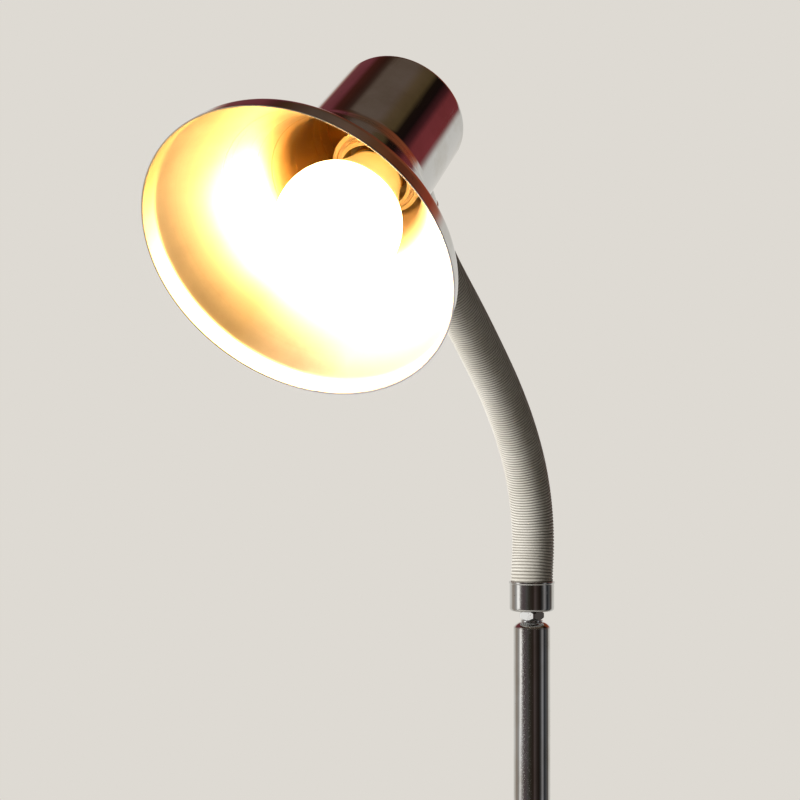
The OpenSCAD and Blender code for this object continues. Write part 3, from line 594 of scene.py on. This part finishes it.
# Upper ferrule. The same drawn cup as below, shorter, screwed against the side of the shade's cap by its
# threaded tube. Its mirror takes in the back of the shade above and the neck below.
mouth_r, lip_h, lip_in, shade_h, shade_t = 77.2, 8.8, 1.7, 128, 0.8
waist_h, cap_foot, cap_r, cap_taper = 67, 70.4, 34.6, 1.8
skirt_hollow, cap_edge, entry_h, top_ferrule_h = 0.3, 3, 110, 12
wall_r = cap_r - cap_taper * (entry_h - cap_foot) / (shade_h - cap_foot)
under = Vector((0, math.sin(dip), -math.cos(dip)))
back = Vector((0, math.cos(dip), math.sin(dip)))
mouth = hinges[-1] + (top_reach + top_ferrule_h) * MM * -under - (wall_r * under + entry_h * back) * MM
tilt = Matrix(((1, 0, 0), (0, under.y, back.y), (0, under.z, back.z)))
on_head = Matrix.Translation(mouth) @ tilt.to_4x4()
on_entry = on_head @ Matrix.Translation((0, 0, entry_h * MM)) @ Matrix.Rotation(-math.pi / 2, 4, "X")
head_turn = on_head.to_euler()
plated_top = chrome("polished_chrome_on_drawn_cup", mouth, head_turn, rub=(700, 60, 700), pits=0.3)
upper = piece("upper_ferrule_drawn", turned(ferrule(top_ferrule_h), 96), [plated_top], "head",
              on_entry @ Matrix.Translation((0, 0, wall_r * MM)))
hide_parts("upper_ferrule")

# Shade. One disc of soft steel, spun into lip, skirt, tight waist and cap, polished and plated outside,
# where the chrome shows long hairlines. Inside, the spinner's satin finish was left under a thin silver
# lacquer: it glows where the bulb lights it and turns brown where it mirrors the dark neck. Its colour also
# carries painted light: a painted warm glow deep inside towards the waist, a painted near-white highlight
# on the right-hand underside, and a brown band of painted shade near the lip on the left, clouded with
# dirt.
plated_shade = chrome("polished_chrome_on_spun_shade", mouth, head_turn, rub=(900, 900, 45), pits=0.35)
satin_inside, tree, shader, spot = new_finish("silver_lacquered_satin_spinning", "#d4c8b2", 0.3, 1.0)
spot = in_piece(tree, spot, mouth, head_turn)
side, fore, deep_in = step(tree, "SeparateXYZ", {"Vector": spot}).node.outputs
flat = step(tree, "CombineXYZ", {"X": side, "Y": fore})
out = step(tree, "VectorMath", {0: flat}, operation="LENGTH")
turns = step(tree, "CombineXYZ", {"X": out, "Y": deep_in})
rings = noise(tree, turns, 900.0, 3.0, 0.6)
cloud = noise(tree, spot, 26.0, 5.0, 0.62)
# Painted shade with some dirt: a band from about 8 to 36 mm above the mouth, on the left, is painted brown
# with cloudy smudges.
edge = ramp(tree, spread(tree, deep_in, 0.0, 50 * MM),
            [(0.16, 0.0), (0.19, 0.8), (0.36, 1.0), (0.5, 0.45), (0.72, 0.0)])
low = step(tree, "VectorMath", {0: spot, 1: (-0.866, 0.5, 0)}, operation="DOT_PRODUCT")
low = spread(tree, low, 38 * MM, 56 * MM)
# Painted highlight: the right-hand underside of the inside is painted near-white and made rougher.
painted_bright_side = step(tree, "VectorMath", {0: spot, 1: (0.66, 0.75, 0)}, operation="DOT_PRODUCT")
painted_bright_side = spread(tree, painted_bright_side, 0.0, 50 * MM)
soil_and_painted_shade = spread(tree, cloud, 0.3, 0.75, 0.05, 0.6)
soil_and_painted_shade = times(tree, soil_and_painted_shade, edge)
soil_and_painted_shade = times(tree, soil_and_painted_shade, low)
lacquer_and_painted_light = ramp(tree, cloud, [(0.3, "#c9bb9a"), (0.6, "#d6c9ab"), (0.8, "#ddd2b8")])
# Painted warm glow: from 58 to 74 mm above the mouth the lacquer is painted a lighter, warmer yellow.
deep = spread(tree, deep_in, 58 * MM, 74 * MM)
lacquer_and_painted_light = mixed(tree, deep, lacquer_and_painted_light, "#f5d9a2")
lacquer_and_painted_light = mixed(tree, painted_bright_side, lacquer_and_painted_light, "#f4f4ff")
soiled_and_shaded_lacquer = mixed(tree, soil_and_painted_shade, lacquer_and_painted_light, "#6b5c45")
feed(shader, "Base Color", soiled_and_shaded_lacquer)
rough = spread(tree, rings, 0.3, 0.7, 0.26, 0.36)
rough = scaled(tree, painted_bright_side, 0.16, rough)
rough = scaled(tree, edge, 0.16, rough)
feed(shader, "Roughness", rough)
relief(tree, shader, rings, 0.25, 0.03)

cap_top = cap_r - cap_taper
waist, waist_in = (cap_r + 2.9, waist_h - 4.1), (cap_r + 2.24, waist_h - 4.56)
outside = [(mouth_r, 0, 0.35), (mouth_r - lip_in, lip_h, 1.8)]
outside += arc((mouth_r - lip_in - 1.45, lip_h + 2.2), waist, skirt_hollow, 40)[:-1]
outside += arc(waist, (cap_r, cap_foot + 1), 0.66, 16)
outside += [(cap_top + 0.4, shade_h - 12), (cap_top, shade_h - 0.12, cap_edge),
            (cap_top - cap_edge - 3, shade_h + 0.2), (cap_top / 2, shade_h + 0.7),
            (6, shade_h + 0.9), (0, shade_h + 0.9)]
inside = [(mouth_r - 0.82, 0, 0.3), (mouth_r - lip_in - 0.9, lip_h + 0.1, 1.0)]
inside += arc((mouth_r - lip_in - 2.35, lip_h + 2.2), waist_in, skirt_hollow, 40)[:-1]
inside += arc(waist_in, (cap_r - shade_t, cap_foot + 0.98), 0.69, 16)
inside += [(cap_top - shade_t + 0.4, shade_h - 12), (cap_top - shade_t, shade_h - shade_t, cap_edge - 0.6),
           (cap_top - cap_edge - 3, shade_h - 0.55), (0, shade_h + 0.15)]
# Faces that look towards the axis or the mouth get the satin finish.
bm = turned(inside[::-1] + outside, 160, 8)
bmesh.ops.remove_doubles(bm, verts=bm.verts, dist=1e-6)
bmesh.ops.recalc_face_normals(bm, faces=bm.faces)
for face in bm.faces:
    middle = face.calc_center_median()
    facing = face.normal.xy.dot(middle.xy.normalized()) + face.normal.z
    face.material_index = int(facing < -0.2)
shade = piece("shade_spun", bm, [plated_shade, satin_inside], "head", on_head, crease=40)
drilled(shade, [(on_entry @ Vector((0, 0, wall_r * MM)) / MM, under, bore, 8)])
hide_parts("shade")

# Lampholder. Barrel, dome and ring of cream urea moulding, screwed together; the ring has grip notches
# and a groove in its front. It stands a little under the axis of the shade on a bent steel strip. Urea
# has a soft gloss and lets light in a little.
holder_off, barrel_r, holder_wall, holder_front, barrel_top, dome_r = 9.7, 19.1, 1.6, 84.3, 101.3, 17.5
holder_ring_r, ring_low, ring_w, roof, dome_top, dome_bore = 22.9, 87.5, 4.5, 116.8, 120.1, 5.05
notch_turn, notch_half, notch_d, notch_skin = 20, 2.1, 0.6, 0.7
on_holder = on_head @ Matrix.Translation((0, holder_off * MM, 0))
urea, tree, shader, spot = new_finish("moulded_cream_urea", "#ece0c4", 0.34, Subsurface_Weight=0.15,
                                      Subsurface_Scale=0.002, Subsurface_Radius=(1.0, 0.6, 0.3))
tone = noise(tree, spot, 90.0, 3.0)
aged = ramp(tree, tone, [(0.3, "#e2d3b2"), (0.6, "#eee3ca"), (0.8, "#f1e8d4")])
feed(shader, "Base Color", aged)
gloss = spread(tree, tone, 0.0, 1.0, 0.26, 0.44)
feed(shader, "Roughness", gloss)
inner, spigot = barrel_r - holder_wall, dome_r - holder_wall - 0.05
dome = piece("holder_dome_moulded", turned(
    [(dome_r - holder_wall, barrel_top), (barrel_r, barrel_top, 0.2), (barrel_r, barrel_top + 1, 0.4),
     (dome_r, barrel_top + 2.6, 0.5), (dome_r, roof - 1, 0.6)]
    + arc((dome_r - 0.4, roof), (8.4, dome_top), -0.8, 10)
    + [(dome_bore, dome_top), (dome_bore, roof), (dome_r - holder_wall, roof)], 96),
    [urea], "head", on_holder)
barrel = piece("holder_barrel_moulded", turned([
    (inner - 0.4, holder_front, 0.2), (barrel_r, holder_front, 0.5), (barrel_r, barrel_top, 0.2),
    (spigot, barrel_top),
    (spigot, barrel_top + 5.5, 0.3), (spigot - 1.1, barrel_top + 5.5), (spigot - 1.1, barrel_top - 2),
    (inner, barrel_top - 3.5), (inner, holder_front + 2)], 96), [urea], "head", on_holder)
bm = turned([
    (barrel_r + 0.05, ring_low + 1.2), (barrel_r + 1.5, ring_low + 1.2, 0.2),
    (barrel_r + 1.7, ring_low, 0.3), (holder_ring_r, ring_low, 0.6), (holder_ring_r, ring_low + 1.4),
    (holder_ring_r, ring_low + ring_w, 0.5), (barrel_r + 0.05, ring_low + ring_w)], 180)
for v in bm.verts:
    swing = math.degrees(math.atan2(v.co.y, v.co.x)) % notch_turn
    on_skin = v.co.xy.length > (holder_ring_r - notch_skin) * MM and v.co.z > (ring_low + 1.3) * MM
    if on_skin and min(swing, notch_turn - swing) < notch_half:
        v.co.xy *= 1 - notch_d / holder_ring_r
grip = piece("holder_ring_notched", bm, [urea], "head", on_holder)
for made, name in ((dome, "holder_dome"), (barrel, "holder_barrel"), (grip, "holder_ring")):
    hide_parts(name)
porcelain, tree, shader, spot = new_finish("glazed_porcelain", "#ece9e1", 0.2,
                                           Coat_Weight=0.5, Coat_Roughness=0.08)
fleck = noise(tree, spot, 500.0, 2.0)
glaze = ramp(tree, fleck, [(0.3, "#e0dcd2"), (0.5, "#efece5")])
feed(shader, "Base Color", glaze)
clad(porcelain, "contact_block")

# Bulb. A 60 mm ball of opal glass that runs into a neck, cemented into an aluminium screw cap with a
# black glass foot and a solder tip. It is lit: the white coating inside spreads the glow, so the ball is
# one even warm light without a hot spot.
bulb_r, bulb_h, glass_t, screw_start, screw_cap_r, edge_turn = 30, 41.6, 1, 84.6, 13.1, math.radians(58)
opal, tree, shader, spot = new_finish("lit_opal_glass", "#eadbbb", 0.25,
                                      Coat_Weight=0.4, Coat_Roughness=0.05)
shader.inputs["Emission Strength"].default_value = 22.0
spot = in_piece(tree, spot, on_holder.translation, head_turn)
mist = noise(tree, spot, 30.0, 2.0)
height = step(tree, "SeparateXYZ", {"Vector": spot}).node.outputs["Z"]
height = spread(tree, height, bulb_h * MM, screw_start * MM)
height = scaled(tree, mist, 0.06, height)
glow = ramp(tree, height, [
    (0.0, "#ffcf8c"), (0.29, "#ffca84"), (0.37, "#3f2f18"), (0.55, "#33250f"), (1.0, "#30220b")])
feed(shader, "Emission Color", glow)
seat = screw_cap_r - 0.6
leave = (bulb_r * math.sin(edge_turn), bulb_h + bulb_r * math.cos(edge_turn))
leave_in = tuple(Vector(leave) - Vector((math.sin(edge_turn), math.cos(edge_turn))) * glass_t)
ball = arc((0, bulb_h - bulb_r), (bulb_r, bulb_h), -bulb_r * (1 - math.cos(math.pi / 4)), 24)
ball += arc((bulb_r, bulb_h), leave, -bulb_r * (1 - math.cos((math.pi / 2 - edge_turn) / 2)), 8)[1:]
ball += arc(leave, (seat + 1.8, screw_start - 0.8), 1.1, 12)[1:]
ball += [(seat, screw_start + 0.2), (seat, screw_start + 7)]
core_r = bulb_r - glass_t
core = arc((0, bulb_h - bulb_r + glass_t), (core_r, bulb_h), -core_r * (1 - math.cos(math.pi / 4)), 24)
core += arc(core[-1], leave_in, -core_r * (1 - math.cos((math.pi / 2 - edge_turn) / 2)), 8)[1:]
core += arc(leave_in, (seat + 0.8, screw_start - 0.8), 1.1, 12)[1:]
core += [(seat - glass_t, screw_start + 0.4), (seat - glass_t, screw_start + 7)]
bulb = piece("bulb_glass_blown", turned(core + ball[::-1], 96), [opal], "head", on_holder, crease=50)
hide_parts("bulb_glass")

cap_metal, tree, shader, spot = new_finish("rolled_aluminium_screw_cap", "#c9cacc", 0.3, 1.0)
spot = in_piece(tree, spot, on_holder.translation, head_turn)
knuckle_pitch = 3.6
knuckle = step(tree, "TexWave", {"Vector": spot, "Scale": math.pi / (10 * MM) / knuckle_pitch},
               bands_direction="Z")
relief(tree, shader, knuckle.node.outputs["Fac"], 1.0, 0.8)
tarnish = noise(tree, spot, 200.0, 3.0)
matt = spread(tree, tarnish, 0.0, 1.0, 0.2, 0.45)
feed(shader, "Roughness", matt)
black_glass, tree, shader, spot = new_finish("fused_black_glass", "#121214", 0.12)
streak = noise(tree, spot, 320.0, 2.0)
molten = spread(tree, streak, 0.0, 1.0, 0.05, 0.25)
feed(shader, "Roughness", molten)
tin, tree, shader, spot = new_finish("soft_solder", "#b9bbbd", 0.38, 1.0)
frost = noise(tree, spot, 800.0, 3.0)
relief(tree, shader, frost, 0.5, 0.1)
clad(cap_metal, "bulb_screw_cap")
clad(black_glass, "bulb_insulator")
clad(tin, "bulb_tip")

# Floor. A plain pale studio floor that keeps the lamp's shadow and fades into the pale backdrop before
# its rim.
backdrop = "#dedad3"
ground, tree, shader, spot = new_finish("pale_studio_floor", backdrop, 0.9)
away = step(tree, "VectorMath", {0: spot}, operation="LENGTH")
fade = spread(tree, away, 0.4, 2.6, interpolation_type="SMOOTHERSTEP")
clear = step(tree, "BsdfTransparent")
both = step(tree, "MixShader", {0: fade, 1: shader.outputs["BSDF"], 2: clear})
tree.links.new(both, tree.nodes["Material Output"].inputs["Surface"])
bm = bmesh.new()
bmesh.ops.create_circle(bm, cap_ends=True, segments=96, radius=5.2)
floor = piece("studio_floor", bm, [ground])

# Light. A tall window of soft light stands to the left of the lamp and a weak one to its right; neither
# shows in the chrome, which mirrors the room painted in the world below.
toward_camera = Vector((0.4714, -0.8818, 0))
rightward = Vector((0.8818, 0.4714, 0))
lit_spot = Vector((0, -0.05, 1.1))
for name, swing, height, distance, wide, tall, watts in (
        ("left_window", -64, 1.8, 2.4, 1.1, 1.8, 105), ("right_fill", 60, 1.7, 2.6, 1.2, 1.6, 2)):
    light = bpy.data.lights.new(name, "AREA")
    light.shape, light.size, light.size_y, light.energy = "RECTANGLE", wide, tall, watts
    made = bpy.data.objects.new(name, light)
    swing = math.radians(swing)
    outward = toward_camera * math.cos(swing) + rightward * math.sin(swing)
    made.location = outward * distance + Vector((0, 0, height))
    made.rotation_euler = (made.location - lit_spot).to_track_quat("Z", "Y").to_euler()
    made.visible_camera = False
    made.visible_glossy = False
    bpy.context.collection.objects.link(made)

# Backdrop and room. Rays that leave the back of the set see the pale backdrop. Polished metal mirrors the
# room in front: a dim brown studio, a bright window on the left, a duller one on the right, wine-red
# curtains above them and a grey-brown ceiling. Everything else is lit by an even pale sky.
world = bpy.data.worlds.new("studio_world")
bpy.context.scene.world = world
world.use_nodes = True
tree = world.node_tree
tree.nodes.clear()
ray = step(tree, "LightPath")
way = step(tree, "TexCoord")
room_turn = math.radians(-28.13)
way = step(tree, "Mapping", {"Vector": way, "Rotation": (0, 0, room_turn)})
east, north, up = step(tree, "SeparateXYZ", {"Vector": way}).node.outputs
swing = times(tree, north, -1.0)
swing = step(tree, "Math", {0: east, 1: swing}, operation="ARCTAN2")
swing = spread(tree, swing, -math.pi, math.pi)
rise = step(tree, "Math", {0: up}, operation="ARCSINE")
rise = spread(tree, rise, 0.0, math.pi / 2)


def around(turn):
    """Place on a ramp all round the room, from degrees to the right of the middle."""
    return (turn + 180) / 360


def ring(*stops):
    """Ramp stops given by such degrees."""
    return [(around(turn), colour) for turn, colour in stops]


level = ramp(tree, swing, ring(
    (-180, backdrop), (-138, backdrop), (-122, "#aa9e92"), (-109, "#a1968c"), (-92, "#b0adaa"),
    (-74, "#b4afac"), (-65, "#8d8784"), (-52, "#605555"), (-41, "#595051"), (-30, "#555350"),
    (-19, "#3d3a32"), (-8, "#342d27"), (4, "#322822"), (13, "#564a48"), (24, "#3c3430"),
    (35, "#281f1b"), (44, "#272220"), (51, "#3a3938"), (57, "#605e5e"), (64, "#969394"),
    (70, "#8a888a"), (77, "#505052"), (83, "#2b2b2f"), (91, "#3f4042"), (98, "#6a6a6a"),
    (104, "#46403e"), (111, "#56504c"), (120, "#a09a93"), (130, backdrop), (180, backdrop)))
pane = ramp(tree, swing, ring((-91, 0.0), (-83, 0.8), (-73, 0.9), (-63, 0.0)))
low_pane = ramp(tree, swing, ring((-91, 0.0), (-85, 0.8), (-80, 0.3), (-72, 0.12), (-60, 0.0)))
sill = spread(tree, up, -0.14, -0.11)
head = spread(tree, up, 0.3, 0.36, 1.0, 0.0)
pane = mixed(tree, sill, low_pane, pane)
pane = times(tree, pane, head)
front_up = ramp(tree, rise, [(0.05, "#54504d"), (0.2, "#47423c"), (0.45, "#453f38"), (0.75, "#66594c")])
right_up = ramp(tree, rise, [
    (0.0, "#8a5648"), (0.10, "#85393c"), (0.28, "#7d3639"), (0.34, "#4a2124"), (0.42, "#1a100f"),
    (0.50, "#1c130e"), (0.56, "#54442b"), (0.66, "#5e4c36"), (0.74, "#66564b"), (1.0, "#6b5d51")])
rear_up = ramp(tree, rise, [
    (0.15, backdrop), (0.195, "#b0705a"), (0.24, "#9c4431"), (0.33, "#84472c"), (0.45, "#7a4027"),
    (0.53, "#67432c"), (0.62, "#6a5345"), (0.72, "#66564b"), (1.0, "#6b5d51")])
back_up = ramp(tree, rise, [
    (0.13, backdrop), (0.165, "#b0705a"), (0.21, "#93422c"), (0.31, "#6e3020"), (0.41, "#5f3f2c"),
    (0.48, "#5d4433"), (0.55, "#543f31"), (0.72, "#66564b"), (1.0, "#6b5d51")])
left_up = ramp(tree, rise, [
    (0.0, backdrop), (0.19, backdrop), (0.25, "#ab877c"), (0.30, "#763f42"), (0.47, "#73383e"),
    (0.55, "#48221b"), (0.64, "#3b2019"), (0.70, "#3d2a23"), (0.75, "#66564b"), (1.0, "#6b5d51")])
side = spread(tree, east, -0.12, 0.12)
above = right_up
for other, low, high in ((rear_up, 125, 131), (back_up, 146, 160)):
    share = spread(tree, swing, around(low), around(high))
    above = mixed(tree, share, above, other)
above = mixed(tree, side, left_up, above)
ahead_of = ramp(tree, swing, ring((-100, 0.0), (-80, 1.0), (84, 1.0), (97, 0.0)))
above = mixed(tree, ahead_of, above, front_up)
lift = spread(tree, rise, 0.05, 0.14)
room = mixed(tree, lift, level, above)
mirrored = step(tree, "Background", {"Color": room, "Strength": 1.0})
bright = step(tree, "Background", {"Color": linear("#fffdf8"), "Strength": pane})
mirrored = step(tree, "AddShader", {0: mirrored, 1: bright})
sky = step(tree, "Background", {"Color": linear("#f0e2d2"), "Strength": 0.07})
wall = step(tree, "Background", {"Color": linear(backdrop), "Strength": 1.0})
glossy, through = (ray.node.outputs[kind] for kind in ("Is Glossy Ray", "Is Transmission Ray"))
shine = step(tree, "Math", {0: glossy, 1: through}, operation="MAXIMUM")
shown = step(tree, "MixShader", {0: shine, 1: sky, 2: mirrored})
shown = step(tree, "MixShader", {0: ray, 1: shown, 2: wall})
step(tree, "OutputWorld", {"Surface": shown})
